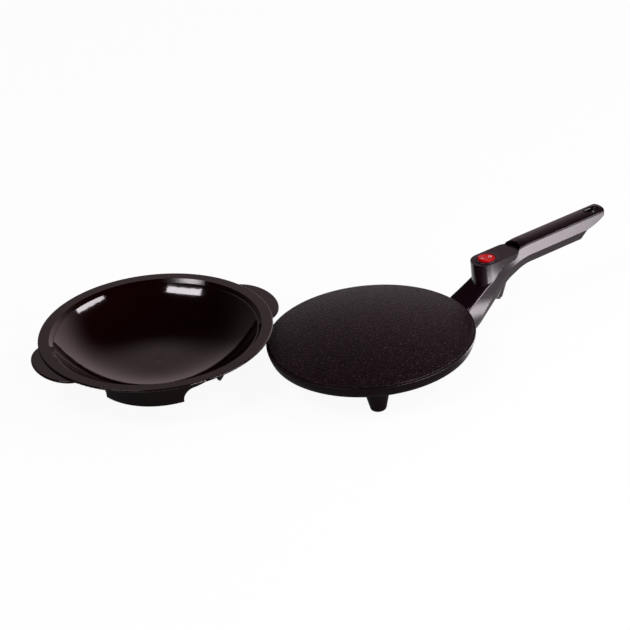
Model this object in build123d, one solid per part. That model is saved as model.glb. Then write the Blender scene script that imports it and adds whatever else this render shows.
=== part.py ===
from build123d import *
import math
import os

# A hand-held electric crepe maker and its batter dish, in millimetres, +Z up.
# The pan is first built about the plate's own axis, with the handle along +X and the table at
# Z = 0. At the end the whole set is moved so that the origin is under the middle of its box.

# ---- Cooking plate -----------------------------------------------------------------------------
EDGE_HEIGHT = 38.2        # height of the plate's edge above the table
PLATE_RADIUS = 100.2
PLATE_DOME = 10.0         # rise of the dome from the edge to the middle
PLATE_THICKNESS = 4.0
LIP_DEPTH = 3.6           # how far the plate's outer lip hangs below the edge
LIP_THICKNESS = 3.4
PLATE_EDGE_ROUND = 1.2

# ---- Base housing ------------------------------------------------------------------------------
RIM_GAP = 0.5             # gap all round between the plate and the housing's rim
RIM_THICKNESS = 1.8
RIM_DROP = 1.0            # how far the housing's rim stays below the plate's edge
RIM_ROUND = 0.7
SKIRT_TAPER = 4.1         # how much narrower the skirt's foot is than its rim
SKIRT_SWELL = 0.7         # outward bow of the skirt's face
BASE_BOTTOM = 25.2        # underside of the base above the table
BASE_CORNER = 3.5
BASE_WALL = 2.5
GASKET_THICKNESS = 1.0
FOOT_INSET = 21.0         # from the skirt's foot in to the middle of a front foot
FOOT_ANGLE = 122.9        # front feet, each way from the handle
FOOT_TOP_RADIUS = 14.0
FOOT_TIP_RADIUS = 7.5
FOOT_TIP_ROUND = 2.6
VENT_COUNT = 24
VENT_CIRCLE = 66.0
VENT_LENGTH = 18.0
VENT_WIDTH = 3.0

# ---- Heating parts -----------------------------------------------------------------------------
ELEMENT_CIRCLE = 62.0
ELEMENT_TUBE = 3.25       # radius of the heating tube
ELEMENT_OPENING = 24.0    # angle left open between its two cold ends
ELEMENT_DROP = 1.5        # straight part of the cold ends below the tube's bend
PIN_RADIUS = 1.2
PIN_LENGTH = 3.0
RIB_WIDTH = 1.6
RIB_DEPTH = 4.0
PLATE_BOSS_CIRCLE = 44.0
PLATE_BOSS_RADIUS = 5.0
SHIELD_HEIGHT = 31.0
SHIELD_THICKNESS = 0.8
SHIELD_MARGIN = 8.4       # from the skirt's foot in to the shield's edge
THERMOSTAT_RADIUS = 8.0
THERMOSTAT_EAR = 3.6      # from its body out to its screws
THERMOSTAT_DEPTH = 7.0
THERMOSTAT_SEAT = 3.0     # depth of the cast pad that it is screwed to
FUSE_RADIUS = 2.0
FUSE_LENGTH = 13.0
FUSE_OFFSET = 27.0        # from the plate's axis
FUSE_PAD = 5.0            # radius of the cast pad that its clip is screwed to
CLIP_SHEET = 0.8
CLIP_WIDTH = 7.0

# ---- Handle ------------------------------------------------------------------------------------
HANDLE_LENGTH = 287.0     # from the plate's axis to the tip
ROOT_START = 52.0         # inner end of the root, under the base
ROOT_SEAM = 8.5           # height of the seam between the shells in the root
GRIP_SEAM = 60.6          # height of the same seam in the grip
GRIP_START = 188.0        # where the seam has levelled out
NECK_ANGLE = 45.0
HEEL_RADIUS = 26.0        # the seam's bend under the neck
BEND_RADIUS = 58.0        # the seam's bend into the grip
HANDLE_WALL = 2.4
CROWN = 1.0               # rise of the rounded top over its edges
EDGE_ROUND = 2.6
SEAM_GAP = 0.1            # open line between the two shells
SEAM_INSET = 0.8          # how far the lower shell stands inside the upper one
TIP_RADIUS = 11.0
EYE_LENGTH = 17.0
EYE_WIDTH = 12.0
EYE_SETBACK = 11.7        # from the tip to the middle of the hanging eye
CAVITY_END = 27.0         # from the tip to the end of the hollow
LOWER_END = 26.0          # from the tip to the lower shell's end, at the seam
LOWER_END_SLOPE = 8.0     # how far that end leans back
TAIL_BULGE = 3.3          # how far the tip's underside has climbed halfway out
TAIL_RISE = 8.9           # how far it climbs above the seam in all
TIP_SPAN = 30.0           # length of the tip that its rounded plan trims
ROOT_SCREW = 8.5          # shell screw, from the root's inner end
NEAR_SCREW = 12.0         # shell screw, from the grip's start
FAR_SCREW = 42.0          # shell screw, back from the tip
STATIONS = 36             # sections along the handle

# ---- Switch tower and round rocker switch ----------------------------------------------------
TOWER_X = 141.0
TOWER_RADIUS = 13.5
TOWER_TOP = 67.2
TOWER_END_X = 168.5       # middle of the flat top's round far end
TOWER_EDGE_ROUND = 1.2
SWITCH_X = 144.0
BEZEL_RADIUS = 11.6
BEZEL_HEIGHT = 0.8
BEZEL_ROUND = 0.5
BARREL_RADIUS = 10.6
BARREL_DEPTH = 14.0
BARREL_FIT = 0.2
ROCKER_RADIUS = 9.0       # ball that bounds the rocker's side
ROCKER_GAP = 0.3
ROCKER_RISE = 3.2         # from the pivot to the ends of its top
ROCKER_DIP = 0.8          # how far its top dips in the middle
ROCKER_DEPTH = 2.6        # from the pivot to its underside
ROCKER_TILT = 8.0         # each way from level
PIVOT_DEPTH = 1.2         # pivot below the tower's flat top
PIVOT_RADIUS = 0.9
PIVOT_FIT = 0.05
ROCKER_WELL = 1.8         # space below the rocker
TERMINAL_WIDTH = 4.8
TERMINAL_THICKNESS = 0.8
TERMINAL_LENGTH = 6.3
LAMP_RADIUS = 1.6

# ---- Cord outlet -------------------------------------------------------------------------------
OUTLET_X = 162.5          # where its axis starts, inside the neck
OUTLET_Z = 50.0
OUTLET_LEAN = 22.0        # towards the plate, from upright
OUTLET_ROOT_RADIUS = 8.0
OUTLET_MOUTH_RADIUS = 7.0
OUTLET_REACH = 29.5       # from that point to the outlet's mouth
OUTLET_BORE = 5.0
CORD_BORE = 3.6
GLAND_LENGTH = 9.0
GLAND_FLANGE = 1.6

# ---- Fasteners and leads -----------------------------------------------------------------------
SCREW_RADIUS = 1.5
SCREW_HEAD_RADIUS = 3.0
SCREW_HEAD_HEIGHT = 2.0
SCREW_FIT = 0.1
SCREW_GRIP = 5.0          # thread's length in a boss of the handle
HEAD_SINK = 0.8           # depth of a sunk screw head below the outside
HOLE_FIT = 0.5
BOSS_WALL = 2.6
LEAD_RADIUS = 1.2
TOUCH = 0.02              # paper-thin gap that keeps curved seats from cutting into each other

# ---- Batter dish -------------------------------------------------------------------------------
DISH_X = -158.1           # middle of the dish from the plate's axis
DISH_Y = 140.0
DISH_TURN = -8.5          # direction of the ears
DISH_HEIGHT = 48.2
DISH_RADIUS = 115.5
DISH_FLANGE = 11.0        # width of the flat rim
DISH_RIM_WIDTH = 13.5     # from the outside to the bowl's outer edge
DISH_WALL = 2.4
DISH_RIM_ROUND = 0.9
DISH_STEP = 4.8           # drop from the rim's top to the bowl's outer edge
DISH_LEDGE = 0.8          # narrow shoulder round the bowl, at the foot of the sloping step
DISH_UNDERSIDE = 13.0     # underside of the bowl above the table
DISH_ROUNDNESS = 3.8      # power of the bowl's curve: larger is flatter with steeper sides
DISH_CURVE_POINTS = 7
EAR_REACH = 128.5
EAR_CENTRE = 100.0
EAR_HALF_WIDTH = 42.0
EAR_DROP = 1.6            # below the rim's top
EAR_THICKNESS = 2.4
EAR_ROUND = 1.0
DISH_FOOT_RADIUS = 65.0   # outside of the feet
DISH_FOOT_WALL = 5.0
DISH_FOOT_COUNT = 3
DISH_FOOT_SPAN = 76.0
DISH_FOOT_TURN = -131.5   # first foot, from the ears' axis
DISH_ARCH_ROUND = 10.0
DISH_FOOT_ROUND = 1.2

CUT = 40.0                # how far a cutting shape reaches past what it cuts

UP = (Align.CENTER, Align.CENTER, Align.MIN)
DOWN = (Align.CENTER, Align.CENTER, Align.MAX)


# ---- Shared helpers ----------------------------------------------------------------------------
def post(x, y, low, high, radius):
    """Upright cylinder between two heights."""
    return Pos(x, y, low) * Cylinder(radius, high - low, align=UP)


def ring(inner, outer, low, high):
    """Upright ring about the Z axis."""
    return post(0, 0, low, high, outer) - post(0, 0, low - 1, high + 1, inner)


def around(radius, angle):
    """Plan position on a circle about the Z axis."""
    return radius * math.cos(math.radians(angle)), radius * math.sin(math.radians(angle))


def screw_up(x, y, seat, length):
    """Screw driven from below: its head hangs under the seat."""
    head = post(x, y, seat - SCREW_HEAD_HEIGHT, seat, SCREW_HEAD_RADIUS)
    head = fillet(head.edges().group_by(Axis.Z)[0], 0.6)
    slot = Pos(x, y, seat - SCREW_HEAD_HEIGHT) * Box(SCREW_HEAD_RADIUS * 1.3, 0.9, 1.6)
    slot += Pos(x, y, seat - SCREW_HEAD_HEIGHT) * Box(0.9, SCREW_HEAD_RADIUS * 1.3, 1.6)
    return head - slot + post(x, y, seat, seat + length, SCREW_RADIUS)


def lead(*points, bend=5.0):
    """Insulated wire along straight runs joined by arcs."""
    path = Line(*points) if len(points) == 2 else FilletPolyline(*points, radius=bend)
    return sweep(Plane(path @ 0, z_dir=path % 0) * Circle(LEAD_RADIUS), path=path)


# ---- Plate, base and heating parts -------------------------------------------------------------
DOME_RADIUS = (PLATE_RADIUS ** 2 + PLATE_DOME ** 2) / (2 * PLATE_DOME)


def dome_top(radius):
    """Height of the cooking surface at a radius."""
    centre = EDGE_HEIGHT + PLATE_DOME - DOME_RADIUS
    return centre + math.sqrt(DOME_RADIUS ** 2 - radius ** 2)


def dome_under(radius):
    """Height of the plate's underside at a radius."""
    centre = EDGE_HEIGHT + PLATE_DOME - DOME_RADIUS
    return centre + math.sqrt((DOME_RADIUS - PLATE_THICKNESS) ** 2 - radius ** 2)


PLATE_BOSS_ANGLES = (60, 180, 300)
LIP_BOTTOM = EDGE_HEIGHT - LIP_DEPTH
LEDGE = LIP_BOTTOM - GASKET_THICKNESS
RIM_TOP = EDGE_HEIGHT - RIM_DROP
RIM_INNER = PLATE_RADIUS + RIM_GAP
RIM_OUTER = RIM_INNER + RIM_THICKNESS
SKIRT_BOTTOM_RADIUS = RIM_OUTER - SKIRT_TAPER
FOOT_CIRCLE = SKIRT_BOTTOM_RADIUS - FOOT_INSET
SHIELD_RADIUS = SKIRT_BOTTOM_RADIUS - SHIELD_MARGIN
BASE_FLOOR = BASE_BOTTOM + BASE_WALL
SHIELD_TOP = SHIELD_HEIGHT + SHIELD_THICKNESS
ELEMENT_HEIGHT = dome_under(ELEMENT_CIRCLE + ELEMENT_TUBE) - ELEMENT_TUBE - 2 * TOUCH
PAD_BOTTOM = dome_under(0) - THERMOSTAT_SEAT
LEG_BOTTOM = ELEMENT_HEIGHT - ELEMENT_TUBE - ELEMENT_DROP
THERMOSTAT_REACH = THERMOSTAT_RADIUS + THERMOSTAT_EAR
FUSE_AXIS = PAD_BOTTOM - CLIP_SHEET - FUSE_RADIUS - TOUCH
SHIELD_HOLE = THERMOSTAT_REACH + 5.0
HEAD_SEAT = BASE_FLOOR + 0.6


def make_cooking_plate():
    inner = PLATE_RADIUS - LIP_THICKNESS
    outline = [
        ThreePointArc((0, dome_top(0)), (PLATE_RADIUS / 2, dome_top(PLATE_RADIUS / 2)),
                      (PLATE_RADIUS, dome_top(PLATE_RADIUS))),
        Line((PLATE_RADIUS, dome_top(PLATE_RADIUS)), (PLATE_RADIUS, LIP_BOTTOM)),
        Line((PLATE_RADIUS, LIP_BOTTOM), (inner, LIP_BOTTOM)),
        Line((inner, LIP_BOTTOM), (inner, dome_under(inner))),
        ThreePointArc((inner, dome_under(inner)), (inner / 2, dome_under(inner / 2)),
                      (0, dome_under(0))),
        Line((0, dome_under(0)), (0, dome_top(0))),
    ]
    plate = revolve(Plane.XZ * make_face(outline), axis=Axis.Z)
    rim_edges = [e for e in plate.edges().filter_by(GeomType.CIRCLE)
                 if abs(e.radius - PLATE_RADIUS) < 0.01 and e.center().Z > EDGE_HEIGHT - 0.1]
    plate = fillet(rim_edges, PLATE_EDGE_ROUND)
    # Two cast ribs hold the heating tube between them.
    for side in (-1, 1):
        middle = ELEMENT_CIRCLE + side * (ELEMENT_TUBE + 2 * TOUCH + RIB_WIDTH / 2)
        low = dome_under(middle) - RIB_DEPTH
        plate += ring(middle - RIB_WIDTH / 2, middle + RIB_WIDTH / 2, low, dome_under(middle) + 0.5)
    for angle in PLATE_BOSS_ANGLES:
        x, y = around(PLATE_BOSS_CIRCLE, angle)
        plate += post(x, y, SHIELD_TOP, dome_under(PLATE_BOSS_CIRCLE) + 1, PLATE_BOSS_RADIUS)
        plate -= post(x, y, SHIELD_TOP - 1, SHIELD_TOP + 9, SCREW_RADIUS + SCREW_FIT)
    plate += post(0, 0, PAD_BOTTOM, dome_under(0) + 1, THERMOSTAT_RADIUS + 8)
    plate += post(0, FUSE_OFFSET, PAD_BOTTOM, dome_under(FUSE_OFFSET) + 1, FUSE_PAD)
    for x in (-THERMOSTAT_REACH, THERMOSTAT_REACH):
        plate -= post(x, 0, PAD_BOTTOM - 1, PAD_BOTTOM + 4, SCREW_RADIUS + SCREW_FIT)
    plate -= post(0, FUSE_OFFSET, PAD_BOTTOM - 1, PAD_BOTTOM + 4, SCREW_RADIUS + SCREW_FIT)
    return plate


def make_gasket():
    inner = PLATE_RADIUS - LIP_THICKNESS
    return ring(inner + 0.2, PLATE_RADIUS - 0.4, LEDGE, LIP_BOTTOM)


def make_heating_element():
    """Tubular ring with both cold ends turned down beside the handle."""
    half = ELEMENT_OPENING / 2
    start = Vector(*around(ELEMENT_CIRCLE, half), ELEMENT_HEIGHT)
    end = Vector(*around(ELEMENT_CIRCLE, -half), ELEMENT_HEIGHT)
    path = ThreePointArc(start, (-ELEMENT_CIRCLE, 0, ELEMENT_HEIGHT), end)
    tube = sweep(Plane(path @ 0, z_dir=path % 0) * Circle(ELEMENT_TUBE), path=path)
    for corner in (start, end):
        tube += Pos(corner) * Sphere(ELEMENT_TUBE)
        tube += Pos(corner) * Cylinder(ELEMENT_TUBE, ELEMENT_TUBE + ELEMENT_DROP, align=DOWN)
    return tube


def make_element_pins():
    """Cold-end pins that the leads are pushed on to."""
    pins = []
    for side in (-1, 1):
        x, y = around(ELEMENT_CIRCLE, side * ELEMENT_OPENING / 2)
        pins.append(post(x, y, LEG_BOTTOM - PIN_LENGTH, LEG_BOTTOM, PIN_RADIUS))
    return pins


def make_heat_shield():
    shield = post(0, 0, SHIELD_HEIGHT, SHIELD_TOP, SHIELD_RADIUS)
    shield -= post(0, 0, SHIELD_HEIGHT - 1, SHIELD_TOP + 1, SHIELD_HOLE)
    for angle in PLATE_BOSS_ANGLES:
        x, y = around(PLATE_BOSS_CIRCLE, angle)
        shield -= post(x, y, SHIELD_HEIGHT - 1, SHIELD_TOP + 1, SCREW_RADIUS + HOLE_FIT)
    for side in (-1, 1):
        x, y = around(ELEMENT_CIRCLE, side * ELEMENT_OPENING / 2)
        shield -= post(x, y, SHIELD_HEIGHT - 1, SHIELD_TOP + 1, ELEMENT_TUBE + 2)
    return shield


def make_thermostat():
    """Snap-disc thermostat: flange with ears, round body and two blades."""
    flange = Pos(0, 0, PAD_BOTTOM) * extrude(
        SlotCenterToCenter(2 * THERMOSTAT_REACH, 7.0), -1.0)
    flange += post(0, 0, PAD_BOTTOM - 2.2, PAD_BOTTOM, THERMOSTAT_RADIUS + 0.4)
    for x in (-THERMOSTAT_REACH, THERMOSTAT_REACH):
        flange -= post(x, 0, PAD_BOTTOM - 2, PAD_BOTTOM + 1, SCREW_RADIUS + HOLE_FIT / 2)
    body = post(0, 0, PAD_BOTTOM - THERMOSTAT_DEPTH, PAD_BOTTOM - 2, THERMOSTAT_RADIUS)
    blades = [Pos(0, y, PAD_BOTTOM - THERMOSTAT_DEPTH) * Box(
        TERMINAL_WIDTH, TERMINAL_THICKNESS, 5.0, align=DOWN) for y in (-4.5, 4.5)]
    return flange + body + blades[0] + blades[1]


def make_thermostat_screws():
    return [screw_up(x, 0, PAD_BOTTOM - 1.0, 4.0) for x in (-THERMOSTAT_REACH, THERMOSTAT_REACH)]


def make_thermal_fuse():
    """Small can with a wire end at each side."""
    fuse = Cylinder(FUSE_RADIUS, FUSE_LENGTH) + Cylinder(0.5, FUSE_LENGTH + 9)
    return Pos(0, FUSE_OFFSET + FUSE_PAD, FUSE_AXIS) * Rot(0, 90, 0) * fuse


def make_fuse_clip():
    """Sheet strap that is screwed to its pad and hooks round the fuse."""
    strap = Pos(0, FUSE_OFFSET + 0.5, PAD_BOTTOM) * Box(
        CLIP_WIDTH, 2 * FUSE_PAD + 1, CLIP_SHEET, align=DOWN)
    hook = Cylinder(FUSE_RADIUS + TOUCH + CLIP_SHEET, CLIP_WIDTH)
    hook = Rot(0, 90, 0) * (hook - Cylinder(FUSE_RADIUS + TOUCH, CLIP_WIDTH + 1))
    hook -= Pos(0, -4, -2) * Box(CLIP_WIDTH + 2, 8.0, 6.0)
    hole = post(0, FUSE_OFFSET, PAD_BOTTOM - 2, PAD_BOTTOM + 1, SCREW_RADIUS + HOLE_FIT / 2)
    head = post(0, FUSE_OFFSET, PAD_BOTTOM - 4, PAD_BOTTOM - CLIP_SHEET, SCREW_HEAD_RADIUS + 0.2)
    return strap + Pos(0, FUSE_OFFSET + FUSE_PAD, FUSE_AXIS) * hook - hole - head


def make_fuse_screw():
    return screw_up(0, FUSE_OFFSET, PAD_BOTTOM - CLIP_SHEET, 4.0)


def skirt_face():
    """Bowed profile of the skirt, from the base's underside to its rim."""
    return ThreePointArc((SKIRT_BOTTOM_RADIUS, BASE_BOTTOM),
                         ((SKIRT_BOTTOM_RADIUS + RIM_OUTER) / 2 + SKIRT_SWELL,
                          (BASE_BOTTOM + RIM_TOP) / 2), (RIM_OUTER, RIM_TOP))


def make_base_housing():
    """Moulded tray: skirt, ledge for the plate, two conical feet, vents and screw posts."""
    outer = [
        Line((0, BASE_BOTTOM), (SKIRT_BOTTOM_RADIUS, BASE_BOTTOM)),
        skirt_face(),
        Polyline((RIM_OUTER, RIM_TOP), (RIM_INNER, RIM_TOP), (RIM_INNER, LEDGE),
                 (PLATE_RADIUS - LIP_THICKNESS - 1.5, LEDGE),
                 (SKIRT_BOTTOM_RADIUS - 2 * BASE_WALL - 1, BASE_FLOOR), (0, BASE_FLOOR),
                 (0, BASE_BOTTOM)),
    ]
    base = revolve(Plane.XZ * make_face(outer), axis=Axis.Z)
    corner = [e for e in base.edges().filter_by(GeomType.CIRCLE)
              if abs(e.radius - SKIRT_BOTTOM_RADIUS) < 0.01 and e.center().Z < BASE_BOTTOM + 0.1]
    base = fillet(corner, BASE_CORNER)
    top_edge = [e for e in base.edges().filter_by(GeomType.CIRCLE)
                if abs(e.radius - RIM_OUTER) < 0.01 and e.center().Z > RIM_TOP - 0.1]
    base = fillet(top_edge, RIM_ROUND)
    for side in (-1, 1):
        x, y = around(FOOT_CIRCLE, side * FOOT_ANGLE)
        foot = Cone(FOOT_TIP_RADIUS, FOOT_TOP_RADIUS, BASE_FLOOR - 0.5, align=UP)
        foot = fillet(foot.edges().group_by(Axis.Z)[0], FOOT_TIP_ROUND)
        core = Pos(0, 0, FOOT_TIP_RADIUS) * Cone(
            FOOT_TIP_RADIUS - BASE_WALL, FOOT_TOP_RADIUS - 2 * BASE_WALL,
            BASE_FLOOR - FOOT_TIP_RADIUS + 0.5, align=UP)
        base += Pos(x, y, 0) * foot
        base -= Pos(x, y, 0) * core
    slot = extrude(SlotOverall(VENT_LENGTH, VENT_WIDTH), 3 * BASE_WALL)
    for index in range(VENT_COUNT):
        angle = (index + 0.5) * 360 / VENT_COUNT
        near_foot = abs(abs(angle if angle < 180 else angle - 360) - FOOT_ANGLE) < 20
        near_root = min(angle, 360 - angle) < 32
        if not near_foot and not near_root:
            base -= Rot(0, 0, angle) * Pos(VENT_CIRCLE, 0, BASE_BOTTOM - BASE_WALL) * slot
    for angle in PLATE_BOSS_ANGLES:
        x, y = around(PLATE_BOSS_CIRCLE, angle)
        base += post(x, y, BASE_BOTTOM, SHIELD_HEIGHT, PLATE_BOSS_RADIUS + 0.6)
        base -= post(x, y, BASE_BOTTOM - 1, HEAD_SEAT, SCREW_HEAD_RADIUS + HOLE_FIT)
        base -= post(x, y, BASE_BOTTOM - 1, SHIELD_HEIGHT + 1, SCREW_RADIUS + HOLE_FIT)
    for x, y in ROOT_SCREWS:
        base += post(x, y, BASE_BOTTOM, SHIELD_HEIGHT - 0.6, SCREW_RADIUS + BOSS_WALL)
        base -= post(x, y, BASE_BOTTOM - 1, SHIELD_HEIGHT - 1.6, SCREW_RADIUS + SCREW_FIT)
    base -= Pos(WIRE_WINDOW_X, 0, BASE_BOTTOM) * Box(WIRE_WINDOW_LENGTH, WIRE_WINDOW_WIDTH, 9)
    return base


def make_plate_screws():
    return [screw_up(*around(PLATE_BOSS_CIRCLE, a), HEAD_SEAT, SHIELD_TOP + 8 - HEAD_SEAT)
            for a in PLATE_BOSS_ANGLES]


# ---- Handle ------------------------------------------------------------------------------------
ROOT_SCREWS = ((90.0, -10.6), (90.0, 10.6), (79.0, -10.6), (79.0, 10.6))
HANDLE_SCREWS = ((ROOT_START + ROOT_SCREW, ROOT_SEAM), (GRIP_START + NEAR_SCREW, GRIP_SEAM),
                 (HANDLE_LENGTH - FAR_SCREW, GRIP_SEAM))
HEAD_BOSS = SCREW_HEAD_RADIUS + HOLE_FIT + 1.6
WIRE_WINDOW_X = 70.0
WIRE_WINDOW_LENGTH = 8.0
WIRE_WINDOW_WIDTH = 12.0
PAD_X = 87.0              # middle of the rear foot pad
PAD_LENGTH = 20.0
PAD_WIDTH = 18.0
PAD_CORNER = 5.0
PAD_SEAT = 0.5            # depth of the pad's recess in the root
BLOCK_X = 93.0            # middle of the terminal block
BLOCK_LENGTH = 14.0
BLOCK_WIDTH = 10.5
BLOCK_HEIGHT = 9.0
LEAD_PITCH = 2.6          # leads, each way from the middle
LEAD_LEVEL = 9.0
LEAD_RUN = BASE_FLOOR + LEAD_RADIUS + 0.4
LEAD_START = BLOCK_X - BLOCK_LENGTH / 2 + 4.0

LEAN = math.radians(NECK_ANGLE)
BEND_X = GRIP_START - BEND_RADIUS * math.sin(LEAN)
BEND_Z = GRIP_SEAM - BEND_RADIUS * (1 - math.cos(LEAN))
HEEL_Z = ROOT_SEAM + HEEL_RADIUS * (1 - math.cos(LEAN))
HEEL_X = BEND_X - (BEND_Z - HEEL_Z) / math.tan(LEAN)
HEEL_START = HEEL_X - HEEL_RADIUS * math.sin(LEAN)
ROOT_RUN = HEEL_START - ROOT_START
HEEL_RUN = HEEL_RADIUS * LEAN
NECK_RUN = (BEND_Z - HEEL_Z) / math.sin(LEAN)
BEND_RUN = BEND_RADIUS * LEAN
GRIP_RUN = HANDLE_LENGTH - GRIP_START
SEAM_LENGTH = ROOT_RUN + HEEL_RUN + NECK_RUN + BEND_RUN + GRIP_RUN
AT_HEEL = ROOT_RUN
AT_NECK = AT_HEEL + HEEL_RUN
AT_BEND = AT_NECK + NECK_RUN
AT_GRIP = AT_BEND + BEND_RUN

# Half widths and heights of the handle's section, at distances along the seam.
ROOT_RISE = BASE_BOTTOM - ROOT_SEAM - CROWN - TOUCH
ROOT_DROP = 6.6
GRIP_DROP = 10.5
LOWER_SLANT = 3.2         # how far the lower shell's flanks lean in
ROOT_UNDER = ROOT_SEAM - ROOT_DROP
TOP_HALF = ((0, 16.6), (AT_HEEL, 17.4), (AT_NECK, 16.8), (AT_NECK + 0.75 * NECK_RUN, 13.5),
            (AT_BEND + 0.3 * BEND_RUN, 13.2), (AT_BEND + 0.85 * BEND_RUN, 10.1),
            (SEAM_LENGTH, 9.8))
SEAM_HALF = ((0, 18.2), (AT_HEEL, 18.7), (AT_NECK, 17.6), (AT_BEND, 15.8), (AT_GRIP, 14.2),
             (SEAM_LENGTH, 13.6))
UPPER_RISE = ((0, ROOT_RISE), (AT_HEEL, ROOT_RISE), (AT_NECK, 20.0), (AT_BEND, 9.0),
              (AT_GRIP, 10.4), (SEAM_LENGTH, 10.6))
LOWER_DROP = ((0, ROOT_DROP), (AT_NECK, ROOT_DROP + 0.8), (AT_BEND, GRIP_DROP),
              (AT_BEND + 0.5 * BEND_RUN, GRIP_DROP + 1.6), (AT_GRIP, GRIP_DROP + 0.5),
              (SEAM_LENGTH, GRIP_DROP))


def blend(keys, length):
    """Value at a distance along the seam, straight between its keys."""
    for (start, low), (end, high) in zip(keys, keys[1:]):
        if length <= end:
            return low + (high - low) * (length - start) / (end - start)
    return keys[-1][1]


def seam_plane(length):
    """Plane across the seam line: X to the side, Y towards the top of the handle."""
    if length < AT_HEEL:
        x, z, turn = ROOT_START + length, ROOT_SEAM, 0.0
    elif length < AT_NECK:
        turn = (length - AT_HEEL) / HEEL_RADIUS
        x = HEEL_START + HEEL_RADIUS * math.sin(turn)
        z = ROOT_SEAM + HEEL_RADIUS * (1 - math.cos(turn))
    elif length < AT_BEND:
        turn, run = LEAN, length - AT_NECK
        x, z = HEEL_X + run * math.cos(LEAN), HEEL_Z + run * math.sin(LEAN)
    elif length < AT_GRIP:
        turn = LEAN - (length - AT_BEND) / BEND_RADIUS
        x = GRIP_START - BEND_RADIUS * math.sin(turn)
        z = GRIP_SEAM - BEND_RADIUS * (1 - math.cos(turn))
    else:
        x, z, turn = GRIP_START + length - AT_GRIP, GRIP_SEAM, 0.0
    return Plane(origin=(x, 0, z), x_dir=(0, 1, 0), z_dir=(math.cos(turn), 0, math.sin(turn)))


def upper_section(length, inset=0.0, below=0.0):
    """Upper shell's section: slanted flanks and a crowned top with rounded edges."""
    top = blend(TOP_HALF, length) - inset
    seam = blend(SEAM_HALF, length) - inset
    rise = blend(UPPER_RISE, length) - inset
    outline = [
        Line((-seam, -below), (seam, -below)), Line((seam, -below), (top, rise)),
        ThreePointArc((top, rise), (0, rise + CROWN), (-top, rise)),
        Line((-top, rise), (-seam, -below)),
    ]
    face = make_face(outline)
    corners = [v for v in face.vertices() if v.Y > rise - 0.01]
    return seam_plane(length) * fillet(corners, EDGE_ROUND - inset / 2)


def lower_section(length, inset=0.0, above=-SEAM_GAP):
    """Lower shell's section, hanging from the seam."""
    seam = blend(SEAM_HALF, length) - SEAM_INSET - inset
    drop = blend(LOWER_DROP, length) - inset
    face = make_face(Polyline((-seam, above), (seam, above), (seam - LOWER_SLANT, -drop),
                              (-seam + LOWER_SLANT, -drop), close=True))
    corners = [v for v in face.vertices() if v.Y < -drop + 0.01]
    return seam_plane(length) * fillet(corners, EDGE_ROUND - inset / 2)


def along_seam(section, start, end, **options):
    """Loft of one kind of section between two distances along the seam."""
    count = max(3, round(STATIONS * (end - start) / SEAM_LENGTH))
    places = [start + (end - start) * i / (count - 1) for i in range(count)]
    return loft([section(place, **options) for place in places])


def tower_outline(radius):
    """Plan of the switch tower and its flat top: a long rounded slot."""
    middle = (TOWER_X + TOWER_END_X) / 2
    return Pos(middle, 0) * SlotCenterToCenter(TOWER_END_X - TOWER_X, 2 * radius)


def beside_seam(offset):
    """Everything below a line that runs beside the seam, from the heel to the tip."""
    points = []
    for share in range(13):
        plane = seam_plane(AT_NECK + (SEAM_LENGTH - AT_NECK) * share / 12)
        spot = plane.origin + plane.y_dir * offset
        points.append((spot.X, spot.Z))
    start = (points[0][0] - CUT, points[0][1] - CUT)
    outline = [start] + points + [(points[-1][0], -2 * CUT), (start[0], -2 * CUT)]
    return extrude(Plane.XZ * make_face(Polyline(*outline, close=True)), CUT, both=True)


def tower_block(radius, offset, top):
    """Tower from a line beside the seam up to a flat top."""
    return extrude(tower_outline(radius), top) - beside_seam(offset)


def tip_outline():
    """Plan that rounds the corners of the handle's tip and spares the rest of it."""
    tip_width = 2 * blend(SEAM_HALF, SEAM_LENGTH) + 0.6
    plan = Pos(HANDLE_LENGTH / 2, 0) * Rectangle(HANDLE_LENGTH, tip_width)
    spared = HANDLE_LENGTH - TIP_SPAN
    plan += Pos(spared / 2, 0) * Rectangle(spared, 2 * CUT)
    return fillet(plan.vertices().group_by(Axis.X)[-1], TIP_RADIUS)


def tail_cut():
    """Wedge that thins the tip from below."""
    start = HANDLE_LENGTH - LOWER_END
    end = HANDLE_LENGTH + 1
    low = GRIP_SEAM - CUT
    outline = [
        ThreePointArc((start, GRIP_SEAM), ((start + end) / 2, GRIP_SEAM + TAIL_BULGE),
                      (end, GRIP_SEAM + TAIL_RISE)),
        Polyline((end, GRIP_SEAM + TAIL_RISE), (end, low), (start, low), (start, GRIP_SEAM)),
    ]
    return extrude(Plane.XZ * make_face(outline), CUT, both=True)


OUTLET_PLANE = Plane(
    origin=(OUTLET_X, 0, OUTLET_Z), x_dir=(0, 1, 0),
    z_dir=(-math.sin(math.radians(OUTLET_LEAN)), 0, -math.cos(math.radians(OUTLET_LEAN))))


def outlet_cone():
    """Tapered boss under the neck, with a chamfered mouth."""
    cone = Cone(OUTLET_ROOT_RADIUS, OUTLET_MOUTH_RADIUS, OUTLET_REACH, align=UP)
    return OUTLET_PLANE * chamfer(cone.edges().group_by(Axis.Z)[-1], 1.0)


def outlet_bore(radius, start, end):
    """Round space along the outlet's axis."""
    return OUTLET_PLANE * Pos(0, 0, start) * Cylinder(radius, end - start, align=UP)


def below_neck():
    """Everything that lies below the inside of the neck's lower wall."""
    return beside_seam(-blend(LOWER_DROP, AT_NECK) + 1.0)


def base_envelope():
    """The base housing's outside without its feet, a hair larger."""
    outline = [
        Line((0, BASE_BOTTOM), (SKIRT_BOTTOM_RADIUS, BASE_BOTTOM)),
        skirt_face(), Line((RIM_OUTER, RIM_TOP), (0, RIM_TOP + 20)),
        Line((0, RIM_TOP + 20), (0, BASE_BOTTOM)),
    ]
    return revolve(Plane.XZ * make_face(outline), axis=Axis.Z)


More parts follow.
